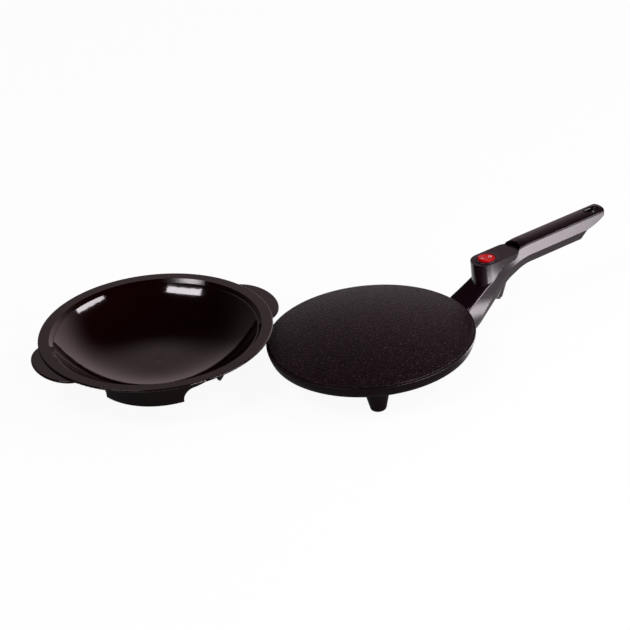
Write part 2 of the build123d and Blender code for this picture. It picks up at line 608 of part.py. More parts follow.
def make_upper_shell():
    shell = along_seam(upper_section, 0, SEAM_LENGTH)
    shell &= extrude(tip_outline(), GRIP_SEAM + CUT)
    tower = tower_block(TOWER_RADIUS, 2.0, TOWER_TOP)
    pocket = Pos(0, 0, TOWER_TOP) * extrude(tower_outline(TOWER_RADIUS), 30)
    shell = shell - pocket + tower
    shell -= along_seam(upper_section, HANDLE_WALL, SEAM_LENGTH - CAVITY_END,
                        inset=HANDLE_WALL, below=0.5)
    shell -= tower_block(TOWER_RADIUS - HANDLE_WALL, -0.5, TOWER_TOP - HANDLE_WALL)
    roof = extrude(tower_outline(TOWER_RADIUS - HANDLE_WALL + 0.2), HANDLE_WALL)
    shell += Pos(0, 0, TOWER_TOP - HANDLE_WALL) * roof
    shell -= post(SWITCH_X, 0, TOWER_TOP - 2 * HANDLE_WALL, TOWER_TOP + 1,
                  BARREL_RADIUS + BARREL_FIT)
    shell -= tail_cut()
    shell -= Pos(HANDLE_LENGTH - EYE_SETBACK, 0, GRIP_SEAM - 5) * extrude(
        SlotOverall(EYE_LENGTH, EYE_WIDTH), 30)
    for x, seam in HANDLE_SCREWS:
        roof = seam + (ROOT_RISE if seam == ROOT_SEAM else blend(UPPER_RISE, SEAM_LENGTH))
        shell += post(x, 0, seam, roof - 0.5, SCREW_RADIUS + BOSS_WALL)
        shell -= post(x, 0, seam - 1, seam + SCREW_GRIP + 1, SCREW_RADIUS + SCREW_FIT)
    for x, y in ROOT_SCREWS:
        shell += post(x, y, ROOT_SEAM, BASE_BOTTOM - CROWN, SCREW_RADIUS + BOSS_WALL)
        shell -= post(x, y, ROOT_SEAM - 1, BASE_BOTTOM + 5, SCREW_RADIUS + HOLE_FIT)
    shell -= Pos(WIRE_WINDOW_X, 0, BASE_BOTTOM) * Box(WIRE_WINDOW_LENGTH, WIRE_WINDOW_WIDTH, 12)
    return shell - base_envelope()


def make_lower_shell():
    end = SEAM_LENGTH - LOWER_END
    shell = along_seam(lower_section, 0, end)
    slope = Plane(origin=(HANDLE_LENGTH - LOWER_END, 0, GRIP_SEAM), x_dir=(0, 1, 0),
                  z_dir=(GRIP_DROP, 0, -LOWER_END_SLOPE))
    shell -= slope * Box(2 * CUT, 2 * CUT, 2 * CUT, align=UP)
    shell += outlet_cone() & below_neck()
    shell -= along_seam(lower_section, HANDLE_WALL, end - HANDLE_WALL - LOWER_END_SLOPE,
                        inset=HANDLE_WALL, above=0.5)
    shell -= outlet_bore(OUTLET_BORE, 0, OUTLET_REACH + 1)
    shell -= Pos(PAD_X, 0, -1) * extrude(
        RectangleRounded(PAD_LENGTH + 0.1, PAD_WIDTH + 0.1, PAD_CORNER), ROOT_UNDER + PAD_SEAT + 1)
    for x, seam in HANDLE_SCREWS:
        low = seam - (ROOT_DROP if seam == ROOT_SEAM else GRIP_DROP)
        shell += post(x, 0, low + 0.5, seam - SEAM_GAP, HEAD_BOSS)
        shell -= post(x, 0, low - 1, low + SCREW_HEAD_HEIGHT + HEAD_SINK,
                      SCREW_HEAD_RADIUS + HOLE_FIT)
        shell -= post(x, 0, low - 1, seam + 1, SCREW_RADIUS + HOLE_FIT)
    return shell


def make_handle_screws():
    screws = []
    for x, seam in HANDLE_SCREWS:
        low = seam - (ROOT_DROP if seam == ROOT_SEAM else GRIP_DROP)
        seat = low + SCREW_HEAD_HEIGHT + HEAD_SINK
        screws.append(screw_up(x, 0, seat, seam + SCREW_GRIP - seat))
    return screws


def make_root_screws():
    """Screws that hold the upper shell's root up against the base."""
    return [screw_up(x, y, ROOT_SEAM, SHIELD_HEIGHT - 2.4 - ROOT_SEAM) for x, y in ROOT_SCREWS]


def make_rear_foot_pad():
    pad = extrude(RectangleRounded(PAD_LENGTH, PAD_WIDTH, PAD_CORNER), ROOT_UNDER + PAD_SEAT)
    return Pos(PAD_X, 0, 0) * fillet(pad.edges().group_by(Axis.Z)[0], 0.8)


def make_terminal_block():
    floor = ROOT_UNDER + HANDLE_WALL + 0.1
    block = Pos(BLOCK_X, 0, floor) * Box(BLOCK_LENGTH, BLOCK_WIDTH, BLOCK_HEIGHT, align=UP)
    for y in (-LEAD_PITCH, LEAD_PITCH):
        block -= Pos(BLOCK_X, y, LEAD_LEVEL) * Rot(0, 90, 0) * Cylinder(
            LEAD_RADIUS + 0.2, BLOCK_LENGTH + 1)
        for x in (BLOCK_X - 3, BLOCK_X + 3):
            block -= post(x, y, LEAD_LEVEL, floor + BLOCK_HEIGHT + 1, 1.2)
    return block


def beside_pin(side, origin):
    """Point at the side of an element pin that faces a place in plan."""
    pin = Vector(*around(ELEMENT_CIRCLE, side * ELEMENT_OPENING / 2), LEAD_RUN)
    return pin + (origin - pin).normalized() * (PIN_RADIUS + TOUCH)


def make_neutral_lead():
    corner = Vector(WIRE_WINDOW_X, LEAD_PITCH, LEAD_RUN)
    return lead((LEAD_START, LEAD_PITCH, LEAD_LEVEL), (WIRE_WINDOW_X, LEAD_PITCH, LEAD_LEVEL),
                corner, beside_pin(1, corner), bend=4.0)


def make_live_lead():
    blade_edge = TERMINAL_WIDTH / 2 + TOUCH
    return lead((LEAD_START, -LEAD_PITCH, LEAD_LEVEL), (WIRE_WINDOW_X, -LEAD_PITCH, LEAD_LEVEL),
                (WIRE_WINDOW_X, -LEAD_PITCH, LEAD_RUN), (blade_edge, 4.5, LEAD_RUN), bend=4.0)


def make_jumper_lead():
    start = Vector(TERMINAL_WIDTH / 2 + TOUCH, -4.5, LEAD_RUN)
    return lead(start, beside_pin(-1, start))


# ---- Round rocker switch -----------------------------------------------------------------------
PIVOT_HEIGHT = TOWER_TOP - PIVOT_DEPTH
WELL_RADIUS = ROCKER_RADIUS + ROCKER_GAP
WELL_FLOOR = PIVOT_HEIGHT - ROCKER_DEPTH - ROCKER_WELL
PIVOT_REACH = WELL_RADIUS + 0.8
BARREL_BOTTOM = TOWER_TOP - BARREL_DEPTH


def make_switch_body():
    body = post(SWITCH_X, 0, BARREL_BOTTOM, TOWER_TOP, BARREL_RADIUS)
    body = chamfer(body.edges().group_by(Axis.Z)[0], 0.8)
    body -= post(SWITCH_X, 0, WELL_FLOOR, TOWER_TOP + 1, WELL_RADIUS)
    return body - Pos(SWITCH_X, 0, PIVOT_HEIGHT) * Rot(90, 0, 0) * Cylinder(
        PIVOT_RADIUS + PIVOT_FIT, 2 * PIVOT_REACH + 0.2)


def make_switch_bezel():
    bezel = post(SWITCH_X, 0, TOWER_TOP, TOWER_TOP + BEZEL_HEIGHT, BEZEL_RADIUS)
    bezel = fillet(bezel.edges().group_by(Axis.Z)[-1], BEZEL_ROUND)
    return bezel - post(SWITCH_X, 0, TOWER_TOP - 1, TOWER_TOP + 9, WELL_RADIUS)


def make_rocker():
    """Ball-sided rocker whose top dips to its middle, with two pivot pins."""
    ends = 2 * ROCKER_RADIUS
    side = make_face([
        ThreePointArc((-ROCKER_RADIUS, ROCKER_RISE), (0, ROCKER_RISE - ROCKER_DIP),
                      (ROCKER_RADIUS, ROCKER_RISE)),
        Polyline((ROCKER_RADIUS, ROCKER_RISE), (ROCKER_RADIUS, -ROCKER_DEPTH),
                 (-ROCKER_RADIUS, -ROCKER_DEPTH), (-ROCKER_RADIUS, ROCKER_RISE))])
    cap = extrude(Plane.XZ * side, ends, both=True) & Sphere(ROCKER_RADIUS)
    cap = fillet(cap.edges().group_by(Axis.Z)[-1], 0.5)
    pins = Rot(90, 0, 0) * Cylinder(PIVOT_RADIUS, 2 * PIVOT_REACH)
    return Pos(SWITCH_X, 0, PIVOT_HEIGHT) * Rot(0, ROCKER_TILT, 0) * (cap + pins)


def make_switch_terminals():
    return [Pos(SWITCH_X, y, BARREL_BOTTOM) * Box(
        TERMINAL_WIDTH, TERMINAL_THICKNESS, TERMINAL_LENGTH, align=DOWN) for y in (-5, 0, 5)]


def make_pilot_lamp():
    top = PIVOT_HEIGHT - ROCKER_DEPTH - ROCKER_GAP
    return post(SWITCH_X, 0, WELL_FLOOR, top, LAMP_RADIUS)


def make_cord_gland():
    start = OUTLET_REACH - GLAND_LENGTH + GLAND_FLANGE
    gland = outlet_bore(OUTLET_BORE - TOUCH, start, OUTLET_REACH)
    gland += outlet_bore(OUTLET_BORE + 0.8, OUTLET_REACH, OUTLET_REACH + GLAND_FLANGE)
    return gland - outlet_bore(CORD_BORE, start - 1, OUTLET_REACH + 9)


# ---- Batter dish -------------------------------------------------------------------------------
BOWL_RADIUS = DISH_RADIUS - DISH_RIM_WIDTH
BOWL_TOP = DISH_HEIGHT - DISH_STEP


def bowl_point(radius, inset):
    """Point of the bowl's profile, moved inwards by a wall."""
    share = radius / BOWL_RADIUS
    depth = BOWL_TOP - DISH_UNDERSIDE
    slope = DISH_ROUNDNESS * depth / BOWL_RADIUS * share ** (DISH_ROUNDNESS - 1)
    run = math.hypot(1, slope)
    return (radius - inset * slope / run,
            DISH_UNDERSIDE + depth * share ** DISH_ROUNDNESS + inset / run)


def bowl_curve(inset):
    """Bowl profile from its middle to its edge, as a smooth curve."""
    steps = range(1, DISH_CURVE_POINTS + 1)
    spread = [bowl_point(BOWL_RADIUS * (i / DISH_CURVE_POINTS) ** 0.6, inset) for i in steps]
    return Spline([(0, DISH_UNDERSIDE + inset)] + spread)


def make_batter_dish():
    outer = bowl_curve(0)
    inner = bowl_curve(DISH_WALL)
    edge, lip = outer @ 1, inner @ 1
    under = DISH_HEIGHT - DISH_WALL
    flange = DISH_RADIUS - DISH_FLANGE
    outline = [
        outer, inner, Line(outer @ 0, inner @ 0),
        Polyline(edge, (flange + 1, under), (DISH_RADIUS, under), (DISH_RADIUS, DISH_HEIGHT),
                 (flange, DISH_HEIGHT), (lip.X + DISH_LEDGE, lip.Y), lip),
    ]
    dish = revolve(Plane.XZ * make_face(outline), axis=Axis.Z)
    rim = [e for e in dish.edges().filter_by(GeomType.CIRCLE)
           if abs(e.radius - DISH_RADIUS) < 0.01]
    dish = fillet(rim, DISH_RIM_ROUND)
    for side in (-1, 1):
        ear = extrude(Pos(side * EAR_CENTRE, 0) * Ellipse(EAR_REACH - EAR_CENTRE,
                                                          EAR_HALF_WIDTH), -EAR_THICKNESS)
        ear = fillet(ear.edges(), EAR_ROUND)
        ear -= post(0, 0, -9, 9, DISH_RADIUS - DISH_WALL)
        dish += Pos(0, 0, DISH_HEIGHT - EAR_DROP) * ear
    wall = ring(DISH_FOOT_RADIUS - DISH_FOOT_WALL, DISH_FOOT_RADIUS, 0,
                bowl_point(DISH_FOOT_RADIUS - DISH_FOOT_WALL, DISH_WALL / 2)[1])
    wall = fillet(wall.edges().group_by(Axis.Z)[0], DISH_FOOT_ROUND)
    gap = math.radians(360 / DISH_FOOT_COUNT - DISH_FOOT_SPAN)
    arch = extrude(RectangleRounded(2 * (DISH_UNDERSIDE - 0.5), gap * DISH_FOOT_RADIUS,
                                    DISH_ARCH_ROUND), 2 * DISH_FOOT_RADIUS)
    for index in range(DISH_FOOT_COUNT):
        turn = DISH_FOOT_TURN + (index + 0.5) * 360 / DISH_FOOT_COUNT
        wall -= Rot(0, 0, turn) * Rot(0, 90, 0) * arch
    dish += wall
    return Pos(DISH_X, DISH_Y, 0) * Rot(0, 0, DISH_TURN) * dish


def main():
    """Build every piece, move the set so that its box stands on the origin, and write it."""
    pieces = {
        "cooking_plate": make_cooking_plate(),
        "plate_gasket": make_gasket(),
        "heating_element": make_heating_element(),
        "element_pins": make_element_pins(),
        "heat_shield": make_heat_shield(),
        "thermostat": make_thermostat(),
        "thermostat_screws": make_thermostat_screws(),
        "thermal_fuse": make_thermal_fuse(),
        "fuse_clip": make_fuse_clip(),
        "fuse_screw": make_fuse_screw(),
        "base_housing": make_base_housing(),
        "plate_screws": make_plate_screws(),
        "rear_foot_pad": make_rear_foot_pad(),
        "handle_upper_shell": make_upper_shell(),
        "handle_lower_shell": make_lower_shell(),
        "handle_screws": make_handle_screws(),
        "root_screws": make_root_screws(),
        "terminal_block": make_terminal_block(),
        "neutral_lead": make_neutral_lead(),
        "live_lead": make_live_lead(),
        "jumper_lead": make_jumper_lead(),
        "switch_body": make_switch_body(),
        "switch_bezel": make_switch_bezel(),
        "switch_rocker": make_rocker(),
        "switch_terminals": make_switch_terminals(),
        "pilot_lamp": make_pilot_lamp(),
        "cord_gland": make_cord_gland(),
        "batter_dish": make_batter_dish(),
    }
    shapes = {name: Compound(piece) if isinstance(piece, list) else piece
              for name, piece in pieces.items()}
    corners = [corner for shape in shapes.values()
               for corner in (shape.bounding_box().min, shape.bounding_box().max)]
    middle_x = (min(c.X for c in corners) + max(c.X for c in corners)) / 2
    middle_y = (min(c.Y for c in corners) + max(c.Y for c in corners)) / 2
    print(f"plate axis at {-middle_x:.3f}, {-middle_y:.3f}")
    os.makedirs("parts", exist_ok=True)
    for name, shape in shapes.items():
        export_step(Pos(-middle_x, -middle_y, 0) * shape, f"parts/{name}.step")


if __name__ == "__main__":
    main()
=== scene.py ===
"""Dresses a hand-held electric crepe maker and its batter dish, and lights them on a pale floor.

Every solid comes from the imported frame. This file gives each one its finish, adds the pieces
that are too fine for the solids, and sets up the studio.
"""
import logging
import math
from dataclasses import dataclass, field
from enum import Enum

import bmesh
import bpy
from mathutils import Matrix, Vector
from mathutils.bvhtree import BVHTree


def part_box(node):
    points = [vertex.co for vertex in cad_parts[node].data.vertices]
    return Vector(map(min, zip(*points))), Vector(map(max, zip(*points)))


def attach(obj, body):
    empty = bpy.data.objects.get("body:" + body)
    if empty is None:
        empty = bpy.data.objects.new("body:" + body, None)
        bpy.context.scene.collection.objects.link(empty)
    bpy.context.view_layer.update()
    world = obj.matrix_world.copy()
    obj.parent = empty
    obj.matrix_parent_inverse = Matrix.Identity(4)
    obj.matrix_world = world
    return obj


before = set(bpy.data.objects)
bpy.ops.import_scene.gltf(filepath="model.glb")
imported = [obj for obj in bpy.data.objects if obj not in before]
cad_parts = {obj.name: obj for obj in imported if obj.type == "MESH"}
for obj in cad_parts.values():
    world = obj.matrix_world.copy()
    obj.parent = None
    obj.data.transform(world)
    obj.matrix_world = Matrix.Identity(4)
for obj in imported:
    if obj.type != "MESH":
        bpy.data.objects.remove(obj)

log = logging.getLogger("crepe_maker")

PAN = "pan"
ROCKER = "rocker"

WHITE = (1.0, 1.0, 1.0)

Number = float | int

# The colour sockets of a Mix node, which shares its sockets' names among its kinds.
MIX_SHARE, MIX_FIRST, MIX_SECOND, MIX_COLOUR = 0, 6, 7, 2


# ---- Shader expressions ------------------------------------------------------------------------
class Signal:
    """A number that varies over a surface, so that shader maths reads as plain arithmetic."""

    def __init__(self, graph: "Graph", socket: bpy.types.NodeSocket) -> None:
        """Wrap an output socket.

        Args:
            graph: The node graph that the socket belongs to.
            socket: The output that carries the number.
        """
        self.graph = graph
        self.socket = socket

    def _math(self, operation: str, first: "Signal | Number",
              second: "Signal | Number") -> "Signal":
        """Return one Math node's result for two values."""
        return self.graph.node("ShaderNodeMath", {"operation": operation},
                               {0: first, 1: second})

    def __add__(self, other: "Signal | Number") -> "Signal":
        """Return self + other."""
        return self._math("ADD", self, other)

    __radd__ = __add__

    def __sub__(self, other: "Signal | Number") -> "Signal":
        """Return self - other."""
        return self._math("SUBTRACT", self, other)

    def __rsub__(self, other: Number) -> "Signal":
        """Return other - self."""
        return self._math("SUBTRACT", other, self)

    def __mul__(self, other: "Signal | Number") -> "Signal":
        """Return self * other."""
        return self._math("MULTIPLY", self, other)

    __rmul__ = __mul__

    def between(self, low: Number, high: Number) -> "Signal":
        """Return a smooth rise from 0 at low to 1 at high.

        Args:
            low: Value at which the result is 0.
            high: Value at which the result is 1.

        Returns:
            The clamped, smoothed value.
        """
        settings = {"interpolation_type": "SMOOTHSTEP"}
        return self.graph.node("ShaderNodeMapRange", settings,
                               {"Value": self, "From Min": low, "From Max": high})


class Graph:
    """A node tree being built, with one method that makes any node."""

    def __init__(self, holder: bpy.types.Material | bpy.types.World, output: str) -> None:
        """Start an empty tree.

        Args:
            holder: The material or world that owns the tree.
            output: Blender's name of the output node's type.
        """
        holder.use_nodes = True
        self.tree = holder.node_tree
        self.tree.nodes.clear()
        self.output = self.tree.nodes.new(output)

    def finish(self, shader: "Signal") -> None:
        """Send a shader to the output."""
        self.tree.links.new(shader.socket, self.output.inputs["Surface"])

    def node(self, kind: str, settings: dict[str, object], inputs: dict[object, object],
             output: str | int = 0) -> Signal:
        """Add a node.

        Args:
            kind: Blender's name of the node's type.
            settings: Properties to set before the sockets are filled.
            inputs: Socket name or number to a value, colour or Signal.
            output: The output to return.

        Returns:
            The chosen output as a Signal.
        """
        made = self.tree.nodes.new(kind)
        for name, value in settings.items():
            setattr(made, name, value)
        for key, value in inputs.items():
            if isinstance(value, Signal):
                self.tree.links.new(value.socket, made.inputs[key])
            else:
                made.inputs[key].default_value = value
        return Signal(self, made.outputs[output])

    def place(self) -> Signal:
        """Return object coordinates in metres."""
        return self.node("ShaderNodeTexCoord", {}, {}, "Object")

    def along(self, axis: str) -> Signal:
        """Return one object coordinate in metres: X, Y or Z."""
        return self.node("ShaderNodeSeparateXYZ", {}, {0: self.place()}, axis)

    def noise(self, scale: float, detail: float = 2.0, roughness: float = 0.5) -> Signal:
        """Return fractal noise from 0 to 1, with its scale in cells per metre."""
        return self.node("ShaderNodeTexNoise", {},
                         {"Vector": self.place(), "Scale": scale, "Detail": detail,
                          "Roughness": roughness}, "Fac")

    def blend(self, share: "Signal | Number", first: object, second: object) -> Signal:
        """Return a colour between two others.

        Args:
            share: 0 for the first colour, 1 for the second.
            first: A colour or a Signal.
            second: A colour or a Signal.

        Returns:
            The mixed colour.
        """
        return self.node("ShaderNodeMix", {"data_type": "RGBA"},
                         {MIX_SHARE: share, MIX_FIRST: first, MIX_SECOND: second}, MIX_COLOUR)

    def mix(self, share: Signal, first: Signal, second: Signal) -> Signal:
        """Return a shader between two others."""
        return self.node("ShaderNodeMixShader", {}, {0: share, 1: first, 2: second})

    def bump(self, height: Signal, strength: float, distance: float) -> Signal:
        """Return a normal from a height, with a distance in metres."""
        return self.node("ShaderNodeBump", {},
                         {"Height": height, "Strength": strength, "Distance": distance})

    def rays(self, *names: str) -> Signal:
        """Return 1 for rays of any of the named kinds, and 0 for the others."""
        first, *others = (self.node("ShaderNodeLightPath", {}, {}, name) for name in names)
        return sum(others, first)


class Coat(Graph):
    """The node tree of one material with a Principled shader."""

    def __init__(self, name: str) -> None:
        """Start an empty material with a name."""
        self.material = bpy.data.materials.new(name)
        super().__init__(self.material, "ShaderNodeOutputMaterial")

    def principled(self, **sockets: object) -> bpy.types.Material:
        """Finish the material with a Principled shader.

        Args:
            **sockets: Socket names, with an underscore for each space, and their values.

        Returns:
            The finished material.
        """
        inputs = {name.replace("_", " "): value for name, value in sockets.items()}
        self.finish(self.node("ShaderNodeBsdfPrincipled", {}, inputs))
        return self.material


def rgba(colour: tuple[float, float, float], share: float = 1.0) -> tuple[float, ...]:
    """Return an opaque colour from linear values, each times a share."""
    return *(share * value for value in colour), 1.0


# ---- Finishes ----------------------------------------------------------------------------------
@dataclass(frozen=True)
class MouldedPlastic:
    """Moulded plastic with a faint unevenness in its gloss."""

    name: str
    colour: tuple[float, float, float]
    roughness: float
    spread: float = 0.05
    specular: float = 0.35
    mottle: float = 0.15
    cloud_scale: float = 55.0
    grain_scale: float = 2600.0
    grain_strength: float = 0.04
    grain_height: float = 0.00004

    def material(self) -> bpy.types.Material:
        """Build the finish.

        Returns:
            The material.
        """
        graph = Coat(self.name)
        cloud = graph.noise(self.cloud_scale, detail=3.0)
        grain = graph.noise(self.grain_scale)
        tint = graph.blend(cloud, rgba(self.colour, 1 - self.mottle),
                           rgba(self.colour, 1 + self.mottle))
        rough = cloud * self.spread + (self.roughness - self.spread / 2)
        normal = graph.bump(grain, self.grain_strength, self.grain_height)
        return graph.principled(Base_Color=tint, Roughness=rough, Normal=normal,
                                Specular_IOR_Level=self.specular)


@dataclass(frozen=True)
class NonStickCoating:
    """Speckled non-stick coating with a fine pebbled face."""

    name: str
    colour: tuple[float, float, float]
    fleck: tuple[float, float, float]
    roughness: float = 0.42
    spread: float = 0.3
    specular: float = 0.11
    mottle: float = 0.3
    cloud_scale: float = 30.0
    pebble_scale: float = 520.0
    pebble_strength: float = 0.8
    pebble_height: float = 0.0007
    fleck_scale: float = 640.0
    fleck_edge: tuple[float, float] = (0.58, 0.70)
    fleck_strength: float = 0.8

    def material(self) -> bpy.types.Material:
        """Build the finish.

        Returns:
            The material.
        """
        graph = Coat(self.name)
        pebble = graph.noise(self.pebble_scale, roughness=0.6)
        flecks = graph.noise(self.fleck_scale, roughness=0.7).between(*self.fleck_edge)
        cloud = graph.noise(self.cloud_scale)
        body = graph.blend(cloud, rgba(self.colour, 1 - self.mottle),
                           rgba(self.colour, 1 + self.mottle))
        tint = graph.blend(flecks * self.fleck_strength, body, rgba(self.fleck))
        rough = pebble * self.spread + (self.roughness - self.spread / 2)
        normal = graph.bump(pebble, self.pebble_strength, self.pebble_height)
        return graph.principled(Base_Color=tint, Roughness=rough, Normal=normal,
                                Specular_IOR_Level=self.specular)


@dataclass(frozen=True)
class Metal:
    """Drawn or machined metal with fine lines."""

    name: str
    colour: tuple[float, float, float]
    roughness: float
    spread: float = 0.2
    mottle: float = 0.2
    line_scale: float = 900.0

    def material(self) -> bpy.types.Material:
        """Build the finish.

        Returns:
            The material.
        """
        graph = Coat(self.name)
        lines = graph.noise(self.line_scale, detail=3.0)
        tint = graph.blend(lines, rgba(self.colour, 1 - self.mottle), rgba(self.colour))
        rough = lines * self.spread + (self.roughness - self.spread / 2)
        return graph.principled(Base_Color=tint, Roughness=rough, Metallic=1.0)


class Finish(Enum):
    """Every finish of the crepe maker and its dish."""

    COATING = NonStickCoating("plate_coating", (0.0034, 0.0010, 0.0019), (0.060, 0.038, 0.048))
    HOUSING = MouldedPlastic("housing_satin", (0.0032, 0.0008, 0.0018), 0.30, specular=0.22)
    HANDLE = MouldedPlastic("handle_gloss", (0.0050, 0.0016, 0.0032), 0.20, spread=0.04)
    HANDLE_UNDER = MouldedPlastic("handle_under_satin", (0.0050, 0.0018, 0.0034), 0.22,
                                  specular=0.20)
    DISH_GLOSS = MouldedPlastic("dish_gloss", (0.0032, 0.0002, 0.0003), 0.07, spread=0.03,
                                specular=0.50)
    SWITCH = MouldedPlastic("switch_black", (0.012, 0.009, 0.011), 0.30)
    BEZEL = MouldedPlastic("bezel_gloss", (0.010, 0.007, 0.009), 0.18)
    ROCKER_RED = MouldedPlastic("rocker_red", (0.32, 0.0006, 0.002), 0.14, spread=0.04,
                                specular=0.06)
    MARK = MouldedPlastic("mark_white", (0.80, 0.62, 0.62), 0.35)
    RUBBER = MouldedPlastic("black_rubber", (0.018, 0.017, 0.018), 0.62)
    CERAMIC = MouldedPlastic("block_white", (0.75, 0.74, 0.70), 0.45)
    LEAD_BLUE = MouldedPlastic("lead_blue", (0.03, 0.07, 0.35), 0.40)
    LEAD_BROWN = MouldedPlastic("lead_brown", (0.12, 0.04, 0.02), 0.40)
    LEAD_WHITE = MouldedPlastic("lead_white", (0.70, 0.68, 0.62), 0.50)
    LAMP = MouldedPlastic("lamp_amber", (0.80, 0.25, 0.12), 0.12)
    STEEL = Metal("screw_steel", (0.56, 0.55, 0.54), 0.32)
    ELEMENT = Metal("element_steel", (0.25, 0.23, 0.22), 0.48)
    SHEET = Metal("shield_sheet", (0.70, 0.70, 0.70), 0.30)
    BRASS = Metal("terminal_brass", (0.72, 0.52, 0.22), 0.30)


NODE_FINISH = {
    "cooking_plate": Finish.COATING,
    "plate_gasket": Finish.RUBBER,
    "heating_element": Finish.ELEMENT,
    "element_pins": Finish.BRASS,
    "heat_shield": Finish.SHEET,
    "thermostat": Finish.STEEL,
    "thermostat_screws": Finish.STEEL,
    "thermal_fuse": Finish.STEEL,
    "fuse_clip": Finish.SHEET,
    "fuse_screw": Finish.STEEL,
    "base_housing": Finish.HOUSING,
    "plate_screws": Finish.STEEL,
    "rear_foot_pad": Finish.RUBBER,
    "handle_upper_shell": Finish.HANDLE,
    "handle_lower_shell": Finish.HANDLE_UNDER,
    "handle_screws": Finish.STEEL,
    "root_screws": Finish.STEEL,
    "terminal_block": Finish.CERAMIC,
    "neutral_lead": Finish.LEAD_BLUE,
    "live_lead": Finish.LEAD_BROWN,
    "jumper_lead": Finish.LEAD_WHITE,
    "switch_body": Finish.SWITCH,
    "switch_bezel": Finish.BEZEL,
    "switch_rocker": Finish.ROCKER_RED,
    "switch_terminals": Finish.BRASS,
    "pilot_lamp": Finish.LAMP,
    "cord_gland": Finish.RUBBER,
    "batter_dish": Finish.DISH_GLOSS,
}


@dataclass
class Wardrobe:
    """Makes each finish once and puts it on the solids."""

    made: dict[Finish, bpy.types.Material] = field(default_factory=dict)

    def get(self, finish: Finish) -> bpy.types.Material:
        """Look a finish up, and make it at its first use.

        Args:
            finish: The finish.

        Returns:
            Its material.
        """
        if finish not in self.made:
            self.made[finish] = finish.value.material()
        return self.made[finish]

    def dress_nodes(self) -> None:
        """Give every solid of the frame its finish."""
        for name, finish in NODE_FINISH.items():
            solid = bpy.data.objects[name]
            for slot in solid.material_slots:
                slot.material = self.get(finish)
            log.info("%s wears %s", name, finish.name)


# ---- Pieces of the scene -----------------------------------------------------------------------
def put(name: str, data: bpy.types.ID) -> bpy.types.Object:
    """Add an object to the scene.

    Args:
        name: The object's name.
        data: The mesh, light or camera that it holds.

    Returns:
        The object, at the origin.
    """
    thing = bpy.data.objects.new(name, data)
    bpy.context.scene.collection.objects.link(thing)
    return thing


def moulding(name: str, shape: bmesh.types.BMesh, material: bpy.types.Material,
             body: str) -> None:
    """Stand a closed shape in the scene with its faces turned outwards.

    Args:
        name: The piece's name.
        shape: Its faces, which are used up.
        material: Its finish.
        body: The body that it rides on.
    """
    bmesh.ops.recalc_face_normals(shape, faces=shape.faces)
    mesh = bpy.data.meshes.new(name)
    shape.to_mesh(mesh)
    shape.free()
    mesh.materials.append(material)
    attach(put(name, mesh), body)
    log.info("%s built", name)


def band(shape: bmesh.types.BMesh, rows: list[list[bmesh.types.BMVert]], closed: bool) -> None:
    """Join rows of points, each a ring, with four-sided faces.

    Args:
        shape: The shape that the points belong to.
        rows: Rings of as many points each.
        closed: Whether the last row joins the first.
    """
    count = len(rows[0])
    for first, second in zip(rows, rows[1:] + (rows[:1] if closed else [])):
        for i in range(count):
            j = (i + 1) % count
            shape.faces.new((first[i], first[j], second[j], second[i]))


@dataclass(frozen=True)
class EyeCollar:
    """The moulded collar that lines the hanging eye. Lengths are in metres."""

    setback: float = 0.0117
    length: float = 0.0170
    width: float = 0.0120
    wall: float = 0.0009
    top_margin: float = 0.0016
    depth: float = 0.0105
    lip: float = 0.0004
    steps: int = 20

    def build(self, wardrobe: Wardrobe) -> None:
        """Make the collar.

        Args:
            wardrobe: Where its finish comes from.
        """
        low, high = (Vector(corner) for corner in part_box("handle_upper_shell"))
        middle = Vector((high.x - self.setback, (low.y + high.y) / 2, 0.0))
        top = high.z - self.top_margin
        foot = top - self.depth
        # Growth and height of each ring, down the outer wall and up the inner one.
        rings = ((0.0, top), (0.0, foot + self.lip), (-self.lip, foot),
                 (self.lip - self.wall, foot), (-self.wall, foot + self.lip),
                 (-self.wall, top - self.lip), (self.lip - self.wall, top))
        shape = bmesh.new()
        rows = [[shape.verts.new(middle + Vector((x, y, z))) for x, y in self.slot(grow)]
                for grow, z in rings]
        band(shape, rows, closed=True)
        moulding("hanging_eye_collar", shape, wardrobe.get(Finish.HANDLE), PAN)

    def slot(self, grow: float) -> list[tuple[float, float]]:
        """Draw the slot's outline about its middle.

        Args:
            grow: How far the outline is moved outwards.

        Returns:
            Its plan points, in order.
        """
        radius = self.width / 2 + grow
        straight = (self.length - self.width) / 2
        points = []
        for side in (1, -1):
            for i in range(self.steps + 1):
                turn = math.pi * (i / self.steps - 0.5)
                points.append((side * (straight + radius * math.cos(turn)),
                               side * radius * math.sin(turn)))
        return points


